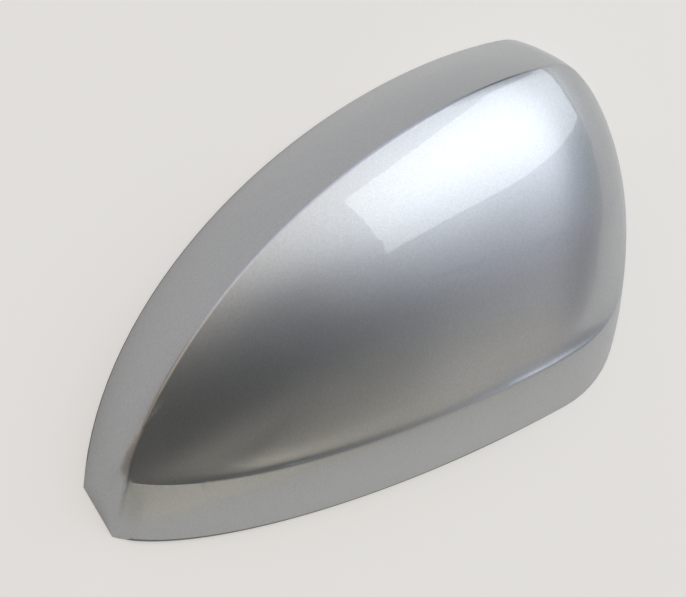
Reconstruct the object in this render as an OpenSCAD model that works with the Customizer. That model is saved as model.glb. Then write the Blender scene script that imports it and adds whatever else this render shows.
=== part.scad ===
// Wing mirror cover: one moulded cap with a domed face, two side bands, a rolled broad end and a cut-off tip.
// Rim down on Z = 0, tip towards -X, upper band towards +Y. Millimetres.

/* [Overall size] */
// Length of the cap from the cut-off tip to the broad end
cap_len = 224; // [180:2:260]
// Width of the cap across the rim
cap_wid = 131.5; // [105:0.5:155]
// Height of the crown above the rim
crown_h = 46; // [38:1:56]
// Wall thickness of the moulding
wall = 2.6; // [2:0.1:3.4]

/* [Domed face] */
// How far the crown has fallen at the tip, lengthwise
tip_fall = 28; // [22:1:34]
// How far the crown has fallen at the lower rim, crosswise
low_fall = 30; // [22:1:38]
// Distance over which the broad end rolls down
roll_run = 60; // [40:2:80]
// Sharpness of that roll, low is rounder
roll_power = 2.6; // [2:0.1:3.4]
// Depth of the hollow sweep above the lower edge line, at the heel
sweep_depth = 2.1; // [0:0.1:3]
// Depth of the same sweep along the rest of that line
sweep_thin = 1.1; // [0:0.1:2]
// Distance of the sweep from the edge line
sweep_width = 7.5; // [4:0.5:10]

/* [Bands] */
// Width in plan of the upper band, measured inward from the rim
upper_in = 14; // [10:0.5:18]
// Width in plan of the lower band, measured inward from the rim
lower_in = 20; // [15:0.5:23]
// Length of the cut-off end at the tip
tip_flat = 19.4; // [14:0.2:26]
// Crown of each band, as a share of its height
band_bulge = 0.06; // [0:0.01:0.12]

/* [Rim tongue] */
// Height of the locating tongue under the lower band
tongue_h = 1.6; // [0.6:0.1:2.2]
// Height of the same tongue round the rest of the rim
tongue_low = 0.2; // [0.1:0.1:0.4]
// Set-in of the tongue from the outer edge of the rim
tongue_set = 0.9; // [0.5:0.1:1.4]

/* [Clips and pins] */
// Width of a snap clip
clip_w = 10; // [6:0.5:14]
// Thickness of a snap clip
clip_t = 1.8; // [1.4:0.1:2.4]
// Reach of the barb on a clip
barb = 1.6; // [1:0.1:2.2]
// Thickness of a corner web
web_t = 1.4; // [1:0.1:2]
// Start of a corner web, in from the inner edge of the rim
web_from = 4; // [3:0.5:8]
// End of a corner web, in from the inner edge of the rim
web_to = 22; // [16:1:28]
// Distance of the clips in from the inner edge of the rim
clip_in = 6; // [5:0.5:9]
// Height of the clip ends above the table
clip_end = 4; // [2:0.5:8]
// Diameter of a locating pin
pin_d = 5; // [4:0.2:6]
// Length of a locating pin below its post
pin_len = 11; // [8:0.5:12]
// Diameter of the post that carries a pin
post_d = 9; // [8:0.2:11]
// Height of the pin ends above the table
pin_end = 5; // [3:0.5:8]

/* [Hidden] */
$fn = 48;
kx = cap_len / 224;
ky = cap_wid / 131.5;
n_cut = 3;
n_top = 36;
n_turn = 4;
n_end = 20;
n_heel = 8;
n_low = 36;
n = n_cut + n_top + n_turn + n_end + n_heel + n_low;
n_band = 5;
n_face = 13;
rows = n_band + n_face;
pole = [6 * kx, 8 * ky];

// Height of the face over a place in plan.
function roll(x, y) = pow(max(0, 1 - pow(min(1, max(0, 1 - (114.8 * kx - 0.0055 * kx * pow(y / ky - 26, 2) - x)
    / roll_run)), roll_power)), 0.5);
function crown(x, y) = crown_h - tip_fall * pow((x / kx - 43.8) / 155, 2)
    - low_fall * pow((y / ky - 23) / 88.8, 2);
function dome(x, y) = crown(x, y) * roll(x, y);

// A cubic curve through four hand-set points.
function cubic(p, t) = pow(1 - t, 3) * p[0] + 3 * t * pow(1 - t, 2) * p[1] + 3 * t * t * (1 - t) * p[2]
    + pow(t, 3) * p[3];
function fit(p) = [for (q = p) [q[0] * kx, q[1] * ky]];
function part_of(p, c, t0, t1) = [for (i = [0 : c - 1]) cubic(p, t0 + (t1 - t0) * i / c)];

// Outline of the rim, from the low corner of the tip round by the upper band, the shoulder,
// the broad end and the heel.
tip_low = [-111.7, -20.4];
tip_high = [-112, -20.4 + tip_flat / ky];
rim_cut = fit([tip_low, tip_low * 0.67 + tip_high * 0.33, tip_low * 0.33 + tip_high * 0.67, tip_high]);
rim_top = fit([tip_high, [-72, 59.5], [32, 78], [95, 59]]);
rim_turn = fit([[95, 59], [99, 57.8], [102.5, 55.6], [104.5, 52]]);
rim_end = fit([[104.5, 52], [118.5, 25], [115, -16], [81.3, -54.2]]);
rim_heel = fit([[81.3, -54.2], [74.3, -62.3], [64, -66.4], [53, -65.6]]);
rim_low = fit([[53, -65.6], [-30, -60.2], [-95, -38], tip_low]);
rim = concat(part_of(rim_cut, n_cut, 0, 1), part_of(rim_top, n_top, 0, 1), part_of(rim_turn, n_turn, 0, 1),
    part_of(rim_end, n_end, 0, 1), part_of(rim_heel, n_heel, 0, 1), part_of(rim_low, n_low, 0, 1));

// Edge line of the face, at the same stations, set in from the rim by the width of each band.
ui = upper_in / 14 / ky;
li = lower_in / 20 / ky;
edge_tip = [-102.7, -3];
top_end = [98, 59 - 14.4 * ui];
turn_end = [105.8, 52 - 13.1 * ui];
heel_start = [81 + 8 * li, -54 + 18.5 * li];
heel_end = [60.4, -65.6 + 20.3 * li];
edge_top = fit([edge_tip, [-61.8, 59.5 - 12.1 * ui], [39.5, 78.5 - 12.5 * ui], top_end]);
edge_turn = fit([top_end, [101.4, 59 - 15.6 * ui], [104.2, 55.6 - 14.4 * ui], turn_end]);
edge_end = fit([turn_end, [115, 23], [113, -3], heel_start]);
edge_heel = fit([heel_start, [82, -62.5 + 20.8 * li], [75.5, -66.4 + 20.9 * li], heel_end]);
edge_low = fit([heel_end, [-26, -60.2 + 19.2 * li], [-88, -38 + 19.5 * li], edge_tip]);
edge = concat(part_of(edge_top, n_cut, 0, 0.03), part_of(edge_top, n_top, 0.03, 1),
    part_of(edge_turn, n_turn, 0, 1), part_of(edge_end, n_end, 0, 1), part_of(edge_heel, n_heel, 0, 1),
    part_of(edge_low, n_low, 0, 1));

function ease(t) = let (c = min(1, max(0, t))) c * c * (3 - 2 * c);
function unit(v) = v / max(norm(v), 0.000001);
// How soft the edge line is: sharp along both bands, gone round the broad end.
function soft(i) = let (f = (i - n_cut - n_top - n_turn / 2) / (n_turn / 2 + n_end)) f < 0 || f > 1 ? 0
    : ease(min(f / 0.3, (1 - f) / 0.35));
// Depth of the sweep above the lower edge line: it grows from the tip, and is gone up the broad end.
function sweep(i) = let (q = [edge[i][0] / kx, edge[i][1] / ky]) i > 0 && i < n_cut + n_top + n_turn ? 0
    : (sweep_thin * ease((q[0] + 106) / 50) + (sweep_depth - sweep_thin) * ease((q[0] + 12) / 75))
        * (1 - ease((q[1] + 38) / 40) * ease((q[0] - 60) / 20));
// Height of the painted edge above the table: raised under the lower band, where the tongue shows.
function edge_rise(i) = let (f = i - n + n_low) f > n_low - 3 ? tongue_low
    : tongue_low + (tongue_h - tongue_low) * ease(f / 14 + 0.3);

// A station on the band, t = 0 at the edge line and 1 at the rim.
function band(i, t) = let (
    c = [edge[i][0], edge[i][1], dome(edge[i][0], edge[i][1])],
    r = [rim[i][0], rim[i][1], edge_rise(i)],
    out = r - c,
    flat = unit([out[0], out[1]]),
    ahead = c + [flat[0], flat[1], 0] * 0.1,
    behind = c - [flat[0], flat[1], 0] * 0.1,
    slope = (dome(ahead[0], ahead[1]) - dome(behind[0], behind[1])) / 0.2,
    run = norm(out),
    up = unit([-flat[0] * out[2], -flat[1] * out[2], norm([out[0], out[1]])]) * band_bulge * run,
    s = soft(i),
    a = c + (out / 3 + up) * (1 - s) + unit([flat[0], flat[1], slope]) * run / 3 * s,
    b = r - out / 3 + up)
    pow(1 - t, 3) * c + 3 * t * pow(1 - t, 2) * a + 3 * t * t * (1 - t) * b + pow(t, 3) * r;

// A station on the face, t = 0 at the edge line and 1 at the middle of the face.
function face(i, t) = let (
    q = edge[i] + (pole - edge[i]) * t,
    d = norm(q - edge[i]) / sweep_width)
    [q[0], q[1], dome(q[0], q[1]) - sweep(i) * d * exp(1 - d)];

function spread(k) = pow(k / n_face, 1.55);
outer = [for (k = [0 : rows - 1]) [for (i = [0 : n - 1])
    k <= n_band ? band(i, 1 - k / n_band) : face(i, spread(k - n_band))]];
outer_pole = [pole[0], pole[1], dome(pole[0], pole[1])];

// Outward direction at a station, from the surface on either side of its ring.
function along(k, i) = outer[k][(i + n - 1) % n] - outer[k][(i + 1) % n];
function ahead_dir(k, i) = unit(cross(along(k, i),
    (k == rows - 1 ? outer_pole : outer[k + 1][i]) - outer[k][i]));
function back_dir(k, i) = k == 0 ? ahead_dir(k, i) : unit(cross(along(k, i), outer[k][i] - outer[k - 1][i]));

// The inner skin lies one wall under both sides of each ring, and its lowest ring is cut level with the table.
function inner_at(k, i) = let (
    a = ahead_dir(k, i),
    b = back_dir(k, i),
    p = outer[k][i],
    q = p - (a + b) * wall / (1 + a * b),
    flat = unit([a[0], a[1]]) * wall / norm([a[0], a[1]]))
    k == 0 ? [p[0] - flat[0], p[1] - flat[1], 0] : [q[0], q[1], max(wall * 0.16 * k, q[2])];
// The ring next to the edge line has no partner inside, where the corner is tighter.
inner = [for (k = [0 : rows - 1]) if (k != n_band + 1) [for (i = [0 : n - 1]) inner_at(k, i)]];
inner_pole = outer_pole - [0, 0, wall];

function set_in(i, h) = let (d = ahead_dir(0, i), u = unit([d[0], d[1]]))
    [rim[i][0] - u[0] * tongue_set, rim[i][1] - u[1] * tongue_set, h];
tongue_top = [for (i = [0 : n - 1]) set_in(i, edge_rise(i))];
tongue_foot = [for (i = [0 : n - 1]) set_in(i, 0)];

// Rings run from the inner middle down to the rim, over the tongue and up to the outer middle.
rings = concat([for (k = [rows - 2 : -1 : 0]) inner[k]], [tongue_foot, tongue_top], outer);
m = len(rings);

module shell() {
    points = concat([for (r = rings) each r], [inner_pole, outer_pole]);
    last = m * n;
    faces = concat(
        [for (k = [0 : m - 2]) for (i = [0 : n - 1]) let (j = (i + 1) % n)
            each [[k * n + i, (k + 1) * n + j, (k + 1) * n + i], [k * n + i, k * n + j, (k + 1) * n + j]]],
        [for (i = [0 : n - 1]) [last, (i + 1) % n, i]],
        [for (i = [0 : n - 1]) [last + 1, (m - 1) * n + i, (m - 1) * n + (i + 1) % n]]);
    polyhedron(points = points, faces = faces, convexity = 8);
}

// Height of the inner skin of the band, some way in from the inner edge of the rim.
function inward(i) = let (f = unit([inner[0][(i + 1) % n][0] - inner[0][(i + n - 1) % n][0],
    inner[0][(i + 1) % n][1] - inner[0][(i + n - 1) % n][1]])) [f[1], -f[0]];
function reach(i, k, u) = (inner[k][i][0] - inner[0][i][0]) * u[0] + (inner[k][i][1] - inner[0][i][1]) * u[1];
function under(q, u) = dome(q[0], q[1]) - wall * norm([1, (dome(q[0] + u[0] * 0.2, q[1] + u[1] * 0.2)
    - dome(q[0] - u[0] * 0.2, q[1] - u[1] * 0.2)) / 0.4]);
function skin(i, d) = let (u = inward(i)) d > reach(i, n_band, u)
    ? under([inner[0][i][0] + u[0] * d, inner[0][i][1] + u[1] * d], u)
    : lookup(d, [for (k = [0 : n_band]) [reach(i, k, u), inner[k][i][2]]]);

// A snap clip with its barb facing the rim, and the web that ties it to the band.
module clip(i) {
    u = inward(i);
    a = clip_in;
    b = clip_in + clip_t;
    sink = wall * 0.8;
    translate([inner[0][i][0], inner[0][i][1], 0]) rotate([90, 0, atan2(u[1], u[0])]) {
        linear_extrude(height = clip_w, center = true)
            polygon([[a, skin(i, a) + sink], [a, clip_end + barb * 2.1], [a - barb, clip_end + barb * 1.6],
                [a - barb * 0.25, clip_end], [b, clip_end], [b, skin(i, b) + sink]]);
        linear_extrude(height = web_t, center = true)
            polygon([[a + clip_t * 0.1, clip_end + barb * 3.1],
                for (d = [1 : -0.1 : 0.6]) [a * d + clip_t * 0.1, skin(i, a * d) + sink / 2]]);
    }
}

// A web across the inside corner between a band and the face.
module web(i, a, b) {
    u = inward(i);
    translate([inner[0][i][0], inner[0][i][1], 0]) rotate([90, 0, atan2(u[1], u[0])])
        linear_extrude(height = web_t, center = true)
            polygon([for (d = [a : 0.5 : b]) [d, skin(i, d) + wall * 0.35]]);
}

// A locating pin under its post, which grows out of the inner skin.
module pin(x, y) {
    top = dome(x, y) - wall * 0.55;
    translate([x, y, pin_end]) cylinder(h = pin_len + 0.5, d = pin_d);
    translate([x, y, pin_end + pin_len]) cylinder(h = top - pin_end - pin_len, d = post_d);
}

low0 = n_cut + n_top + n_turn + n_end + n_heel;
clips = [n_cut + 8, n_cut + 15, n_cut + 23, n_cut + 31, n_cut + n_top + n_turn + 8,
    low0 + 8, low0 + 16, low0 + 22];
webs = [n_cut + 11, n_cut + 19, n_cut + 28];

module cover() {
    color([0.62, 0.64, 0.66]) union() {
        shell();
        for (i = clips) clip(i);
        for (i = webs) web(i, web_from, web_to);
        pin(-32 * kx, 14 * ky);
        pin(66 * kx, 20 * ky);
    }
}

cover();
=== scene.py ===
import math

import bmesh
import bpy
from mathutils import Matrix, Vector
from mathutils.bvhtree import BVHTree


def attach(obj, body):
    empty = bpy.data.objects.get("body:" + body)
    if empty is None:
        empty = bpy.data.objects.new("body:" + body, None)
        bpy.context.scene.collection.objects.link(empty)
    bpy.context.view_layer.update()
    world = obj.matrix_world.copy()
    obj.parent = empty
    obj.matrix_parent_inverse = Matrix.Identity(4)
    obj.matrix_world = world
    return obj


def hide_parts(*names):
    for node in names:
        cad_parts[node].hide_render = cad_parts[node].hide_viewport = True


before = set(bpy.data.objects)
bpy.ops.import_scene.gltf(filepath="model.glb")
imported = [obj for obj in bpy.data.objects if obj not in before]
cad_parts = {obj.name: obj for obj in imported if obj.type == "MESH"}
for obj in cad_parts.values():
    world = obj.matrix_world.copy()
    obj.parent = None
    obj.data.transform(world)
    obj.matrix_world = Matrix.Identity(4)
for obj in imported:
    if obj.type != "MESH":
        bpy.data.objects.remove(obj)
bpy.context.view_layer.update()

# Mirror cover. The real one is one ABS moulding about 2.6 mm thick with a crisp edge line along each side
# band, a hollow above the lower line, a soft roll at the broad end, and snap clips and pins moulded inside.
# It is sprayed outside only, silver flake under clear coat, and lies on its rim.
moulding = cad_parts["cover"]
cap = bpy.data.objects.new("silver_cap", moulding.data.copy())
bpy.context.scene.collection.objects.link(cap)
cap.data.materials.clear()
bpy.ops.object.select_all(action="DESELECT")
cap.select_set(True)
bpy.context.view_layer.objects.active = cap
bpy.ops.object.mode_set(mode="EDIT")
bpy.ops.mesh.select_all(action="SELECT")
bpy.ops.mesh.remove_doubles(threshold=2e-6)
bpy.ops.mesh.customdata_custom_splitnormals_clear()
bpy.ops.object.mode_set(mode="OBJECT")

# Sprayed faces see the open sky, also where the foot or the tip is a little undercut. The inner side, the
# tongue and the clips stay bare.
sprayed, bare_side = 0, 1
tongue_top = 0.0018
shape = bmesh.new()
shape.from_mesh(cap.data)
tree = BVHTree.FromBMesh(shape)
for face in shape.faces:
    middle, lean = face.calc_center_median(), face.normal
    clear = tree.ray_cast(middle + lean * 1e-5, lean)[0] is None
    above_tongue = max(v.co.z for v in face.verts) > tongue_top
    outward = lean.x * middle.x + 3 * lean.y * middle.y > 0
    coated = clear and above_tongue and (lean.z > -0.02 or outward and lean.z > -0.6)
    face.material_index = sprayed if coated else bare_side
    face.smooth = True


def inside_paint(edge):
    return len(edge.link_faces) == 2 and all(face.material_index == sprayed for face in edge.link_faces)


# The edge lines between the face and the bands are found before the face is redrawn.
line_bend = math.radians(14.2)
weight = shape.edges.layers.float.new("bevel_weight_edge")
lines = [edge for edge in shape.edges
         if inside_paint(edge) and edge.calc_face_angle_signed() > line_bend
         and max(face.normal.z for face in edge.link_faces) > 0.5]

# Above the lower line the face ends in a low shoulder and a small cove, so the wide hollow of the CAD solid
# is redrawn. Stations of rows run straight from the pole, in the middle of the face, to the line. Heights and
# distances from the line are in millimetres.
pole = Vector((0.006, 0.008))
stations = {}
for vert in shape.verts:
    faces = vert.link_faces
    if max(face.normal.z for face in faces) > 0.3 and all(face.material_index == sprayed for face in faces):
        reach = vert.co.xy - pole
        station = round(math.atan2(reach.y, reach.x), 4)
        stations.setdefault(station, []).append((reach.length * 1000, vert))


def ease(t):
    t = min(1, max(0, t))
    return t * t * (3 - 2 * t)


def solid_hollow(x, y, away):
    """Depth of the solid's own hollow at a distance from the line, as its source has it."""
    thin, deep, width = 1.1, 2.1, 7.5
    along = thin * ease((x + 106) / 50) + (deep - thin) * ease((x + 12) / 75)
    gone = ease((y + 38) / 40) * ease((x - 60) / 20)
    return along * (1 - gone) * away / width * math.exp(1 - away / width)


def through(points, at):
    """Height at a distance, on the cubic through the four nearest rows."""
    near = sorted(points, key=lambda point: abs(point[0] - at))[:4]
    return sum(h * math.prod((at - e) / (d - e) for e, _ in near if e != d) for d, h in near)


def read(table, at):
    """The columns of a table at a distance, by straight lines between its rows."""
    low, high = [(a, b) for a, b in zip(table, table[1:]) if a[0] <= at < b[0]][0]
    part = (at - low[0]) / (high[0] - low[0])
    return [a + (b - a) * part for a, b in zip(low[1:], high[1:])]


# Distance from the line, height of the cove, and what is added to it towards the broad end.
cove = ((0, 0, 0), (1.0, -0.25, -0.12), (2.4, -0.50, -0.24), (3.8, -0.52, -0.42), (5.4, -0.20, -0.90),
        (7.4, 0.16, -1.36), (10, 0.26, -1.24), (14, 0.24, -0.70), (20, 0.12, -0.14), (28, 0, 0), (400, 0, 0))
# Rows are set closer together near the line, where the cove needs them, and spread out beyond.
near_rows = (0, 1.0, 2.4, 3.8, 5.4, 7.4)
far_rows, row_growth = 8, 1.4
fewest_rows = 11
tip_limit, upper_limit = -98.5, 2
filled_share = 0.9
for rows in stations.values():
    rows.sort(key=lambda row: -row[0])
    full, first = rows[0]
    x, y = first.co.x * 1000, first.co.y * 1000
    if len(rows) < fewest_rows or y > upper_limit or x < tip_limit:
        continue
    # The cove grows over 30 mm from the tip, and dies out over 16 mm towards the roll.
    from_tip, from_roll = ease((x + 95) / 30), ease((-y - 10) / 16)
    section = [(full - length, vert.co.z * 1000 + solid_hollow(x, y, full - length) * filled_share * from_tip)
               for length, vert in rows]
    for k, (length, vert) in enumerate(rows):
        away = full - length
        beyond = max(0, k + 1 - len(near_rows))
        placed = near_rows[k - beyond] + (full - near_rows[-1]) * (beyond / far_rows) ** row_growth
        away += (placed - away) * from_tip * from_roll
        height, broad_end = read(cove, away)
        height += broad_end * ease((x + 5) / 45)
        if k:
            vert.co.xy = pole + (first.co.xy - pole) * (1 - away / full)
        vert.co.z = (through(section, away) + height * from_tip * from_roll) / 1000
shape.normal_update()

# A mould tool leaves a radius of about 1 mm on the edge lines. It starts at half size or less near the tip,
# and is smaller where the line bends less.
upper_start, lower_start = -0.0915, -0.082
lower_side = -0.004
least_bend, bend_range, run_in = math.radians(8), math.radians(20), 0.02
for edge in lines:
    begins = upper_start if edge.verts[0].co.y > lower_side else lower_start
    start = min(v.co.x for v in edge.verts) - begins
    if start > 0:
        bend = edge.calc_face_angle_signed()
        edge[weight] = max(0.15, min(1.0, (bend - least_bend) / bend_range, 0.5 + start / run_in))
shape.to_mesh(cap.data)
shape.free()
rounding = cap.modifiers.new("edge_radius", "BEVEL")
rounding.limit_method = "WEIGHT"
rounding.width = 0.0009
rounding.segments = 3
rounding.miter_outer = "MITER_ARC"
bpy.ops.object.modifier_apply(modifier=rounding.name)


def mottle(material, place, scale, detail):
    step = material.node_tree.nodes.new("ShaderNodeTexNoise")
    step.inputs["Scale"].default_value = scale
    step.inputs["Detail"].default_value = detail
    material.node_tree.links.new(place.outputs["Object"], step.inputs["Vector"])
    return step.outputs["Fac"]


def spread(material, value, first, last, low=0.0, high=1.0):
    """What runs from low to high, spread from first to last and held at both ends."""
    step = material.node_tree.nodes.new("ShaderNodeMapRange")
    step.inputs["From Min"].default_value = low
    step.inputs["From Max"].default_value = high
    step.inputs["To Min"].default_value = first
    step.inputs["To Max"].default_value = last
    material.node_tree.links.new(value, step.inputs["Value"])
    return step.outputs["Result"]


def combine(material, kind, one, other):
    step = material.node_tree.nodes.new("ShaderNodeMath")
    step.operation = kind
    material.node_tree.links.new(one, step.inputs[0])
    material.node_tree.links.new(other, step.inputs[1])
    return step.outputs[0]


def overlay(material, kind, one, other):
    step = material.node_tree.nodes.new("ShaderNodeMix")
    step.data_type = "RGBA"
    step.blend_type = kind
    step.inputs["Factor"].default_value = 1.0
    material.node_tree.links.new(one, step.inputs[6])
    material.node_tree.links.new(other, step.inputs[7])
    return step.outputs[2]


def shaded(material, value, first, last, low=0.0, high=1.0, kind="LINEAR"):
    """A run of colour from first at low to last at high."""
    step = material.node_tree.nodes.new("ShaderNodeValToRGB")
    step.color_ramp.interpolation = kind
    for end, at, colour in zip(step.color_ramp.elements, (low, high), (first, last)):
        end.position = at
        end.color = colour + (1,)
    material.node_tree.links.new(value, step.inputs["Fac"])
    return step.outputs["Color"]


def relief(material, height, strength, distance):
    step = material.node_tree.nodes.new("ShaderNodeBump")
    step.inputs["Strength"].default_value = strength
    step.inputs["Distance"].default_value = distance
    material.node_tree.links.new(height, step.inputs["Height"])
    return step.outputs["Normal"]


silver = bpy.data.materials.new("silver_clear_coat")
silver.use_nodes = True
nodes, links = silver.node_tree.nodes, silver.node_tree.links
paint = nodes["Principled BSDF"]
paint.inputs["Metallic"].default_value = 0.95
paint.inputs["Coat Weight"].default_value = 1.0
paint.inputs["Coat Roughness"].default_value = 0.02
paint.inputs["Coat IOR"].default_value = 1.9
place = nodes.new("ShaderNodeTexCoord")
# Aluminium flake under the coat: fine cells that differ in shade and lie a little out of level, so the
# paint glitters finely.
flake = nodes.new("ShaderNodeTexVoronoi")
flake.inputs["Scale"].default_value = 2600
links.new(place.outputs["Object"], flake.inputs["Vector"])
shade = shaded(silver, flake.outputs["Color"], (0.49, 0.50, 0.52), (0.59, 0.60, 0.62))
links.new(relief(silver, flake.outputs["Distance"], 0.06, 0.0002), paint.inputs["Normal"])
# Spray clouding: broad, very faint drifts in shade and gloss.
cloud = mottle(silver, place, 28, 3)
tone = overlay(silver, "MULTIPLY", shade, spread(silver, cloud, 0.965, 1.03))
links.new(spread(silver, cloud, 0.32, 0.37), paint.inputs["Roughness"])
# A fine dark line of painted shade runs round the foot, standing in for the shadow gap under the rim where
# the paint stops at the edge. It fades at the tip and towards the broad end, and is thinner along the upper
# band.
spot = nodes.new("ShaderNodeSeparateXYZ")
links.new(place.outputs["Object"], spot.inputs[0])
gap_shade_height = spread(silver, spot.outputs["Y"], 0.0023, 0.0007, -0.020, 0.0)
past_tip = spread(silver, spot.outputs["X"], 0.0, 1.0, -0.1085, -0.1065)
before_heel = spread(silver, spot.outputs["X"], 1.0, 0.1, 0.015, 0.060)
gap_shade_height = combine(silver, "MULTIPLY", gap_shade_height, combine(silver, "MULTIPLY", past_tip, before_heel))
above_gap_shade = combine(silver, "SUBTRACT", spot.outputs["Z"], gap_shade_height)
# Painted shade: the thin strip at the foot is darkened to a fifth of the paint's colour.
painted_gap_shade = spread(silver, above_gap_shade, 0.20, 1.0, -0.0001, 0.0002)
links.new(overlay(silver, "MULTIPLY", tone, painted_gap_shade), paint.inputs["Base Color"])
# Orange peel of the clear coat.
links.new(relief(silver, mottle(silver, place, 260, 1), 0.03, 0.0004), paint.inputs["Coat Normal"])

# Bare plastic: fine eroded grain of the mould, with faint flow marks.
bare = bpy.data.materials.new("bare_black_plastic")
bare.use_nodes = True
nodes, links = bare.node_tree.nodes, bare.node_tree.links
raw = nodes["Principled BSDF"]
raw.inputs["Specular IOR Level"].default_value = 0.4
place = nodes.new("ShaderNodeTexCoord")
flow = mottle(bare, place, 22, 4)
streaks = shaded(bare, flow, (0.022, 0.023, 0.024), (0.042, 0.043, 0.045), 0.3, 0.75)
links.new(streaks, raw.inputs["Base Color"])
links.new(spread(bare, flow, 0.42, 0.62), raw.inputs["Roughness"])
links.new(relief(bare, mottle(bare, place, 1400, 2), 0.15, 0.0001), raw.inputs["Normal"])

cap.data.materials.append(silver)
cap.data.materials.append(bare)
bpy.ops.object.shade_smooth_by_angle(angle=math.radians(28))
# At the tip the edge lines fade into each other. The lower one stays crisp 11 mm further out than the rest,
# and also where its radius begins.
tip_soft, low_line_soft, radius_begins, radius_formed = -0.0905, -0.1015, -0.0805, -0.0765
shape = bmesh.new()
shape.from_mesh(cap.data)
for edge in shape.edges:
    if not inside_paint(edge):
        continue
    far, near = sorted(v.co.x for v in edge.verts)
    low_line = edge.verts[0].co.y < lower_side
    if near < radius_begins:
        top, side = sorted(edge.link_faces, key=lambda face: -face.normal.z)
        if top.normal.z > 0.9 and side.normal.z < 0.85 and low_line:
            edge.smooth = far < low_line_soft
        elif near < tip_soft:
            edge.smooth = True
    elif near < radius_formed and low_line:
        small, large = sorted(face.calc_area() for face in edge.link_faces)
        if near - far > 0.0007 and large > 3 * small:
            edge.smooth = False
shape.to_mesh(cap.data)
shape.free()
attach(cap, "root")
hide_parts("cover")

# Table. A plain pale board, wide enough to fill every view. Seen directly it is lifted towards the pale tone
# of a studio sweep.
bpy.ops.mesh.primitive_plane_add(size=8, location=(0, 0, 0))
table = bpy.context.object
table.name = "table"
board = bpy.data.materials.new("pale_board")
board.use_nodes = True
nodes, links = board.node_tree.nodes, board.node_tree.links
top = nodes["Principled BSDF"]
top.inputs["Base Color"].default_value = (0.85, 0.835, 0.795, 1)
top.inputs["Roughness"].default_value = 0.7
top.inputs["Specular IOR Level"].default_value = 0.2
pale = nodes.new("ShaderNodeEmission")
pale.inputs["Color"].default_value = (0.965, 0.935, 0.895, 1)
rays = nodes.new("ShaderNodeLightPath")
share = spread(board, rays.outputs["Is Camera Ray"], 0.0, 0.50)
lifted = nodes.new("ShaderNodeMixShader")
links.new(share, lifted.inputs[0])
links.new(top.outputs[0], lifted.inputs[1])
links.new(pale.outputs[0], lifted.inputs[2])
links.new(lifted.outputs[0], nodes["Material Output"].inputs["Surface"])
table.data.materials.append(board)

# Studio light. One long soft box over the broad end, from near overhead down towards the horizon.
way = Vector((0.735, 0.060, 0.676)).normalized()
lamp = bpy.data.lights.new("long_box", "AREA")
lamp.shape = "RECTANGLE"
lamp.size = 0.58
lamp.size_y = 2.04
lamp.energy = 4.5
lamp.color = (0.95, 0.98, 1.0)
holder = bpy.data.objects.new("long_box", lamp)
bpy.context.scene.collection.objects.link(holder)
holder.location = Vector((0.04, 0.02, 0.04)) + way * 1.2
holder.rotation_euler = way.to_track_quat("Z", "Y").to_euler()

# Room. It is dark, with walls that are dim where they meet the table, and with broad soft glows, each given
# by its azimuth, elevation and reach in degrees and its colour. The strongest stand round the long box and
# beside the upper band, a warm one stands over that band, and weaker ones lie low down all round.
glows = ((0, 58, 38, (0.72, 0.755, 0.81)), (60, 58, 38, (0.35, 0.38, 0.40)),
         (120, 58, 38, (0.66, 0.59, 0.48)), (328, 50, 32, (0.14, 0.16, 0.20)),
         (56, 76, 22, (0.42, 0.44, 0.46)), (0, 22, 42, (0.19, 0.24, 0.29)),
         (90, 22, 42, (0.66, 0.69, 0.90)), (135, 22, 42, (0.16, 0.11, 0.06)),
         (165, 14, 34, (0.17, 0.16, 0.14)), (205, 14, 34, (0.21, 0.20, 0.165)),
         (240, 12, 32, (0.28, 0.27, 0.23)), (270, 22, 42, (0.38, 0.36, 0.30)),
         (315, 22, 42, (0.27, 0.265, 0.28)))
wall_tone, wall_top = (0.16, 0.155, 0.145), 0.24
room = bpy.data.worlds.new("room")
bpy.context.scene.world = room
room.use_nodes = True
nodes, links = room.node_tree.nodes, room.node_tree.links
where = nodes.new("ShaderNodeTexCoord")
split = nodes.new("ShaderNodeSeparateXYZ")
links.new(where.outputs["Generated"], split.inputs[0])
total = shaded(room, split.outputs["Z"], wall_tone, (0, 0, 0), high=wall_top, kind="EASE")
for azimuth, height, reach, colour in glows:
    azimuth, height = math.radians(azimuth), math.radians(height)
    facing = nodes.new("ShaderNodeVectorMath")
    facing.operation = "DOT_PRODUCT"
    facing.inputs[1].default_value = (math.cos(height) * math.cos(azimuth),
                                      math.cos(height) * math.sin(azimuth), math.sin(height))
    links.new(where.outputs["Generated"], facing.inputs[0])
    edge_of_glow = math.cos(math.radians(reach))
    glow = shaded(room, facing.outputs["Value"], (0, 0, 0), colour, low=edge_of_glow, kind="EASE")
    total = overlay(room, "ADD", total, glow)
links.new(total, nodes["Background"].inputs["Color"])

# Camera. It looks from above the cap and a little towards the tip, turned so that the cap lies across the
# picture.
distance, picture_width, pixels_per_metre = 0.9, 686, 2900
view = Vector((-0.3005, 0.1502, 0.9418)).normalized()
level = Vector((0, 0, 1)).cross(view).normalized()
lift = view.cross(level)
turn = math.radians(87)
right = level * math.cos(turn) + lift * math.sin(turn)
up = lift * math.cos(turn) - level * math.sin(turn)
lens = bpy.data.cameras.new("camera")
camera = bpy.data.objects.new("camera", lens)
bpy.context.scene.collection.objects.link(camera)
camera.matrix_world = Matrix((right, up, view)).transposed().to_4x4()
camera.location = Vector((-0.0012, 0.0081, 0)) + view * distance
lens.sensor_width = 36
lens.lens = lens.sensor_width * pixels_per_metre * distance / picture_width
lens.shift_y = 1.5 / picture_width
lens.clip_end = 20
bpy.context.scene.camera = camera
bpy.context.scene.view_settings.view_transform = "Standard"
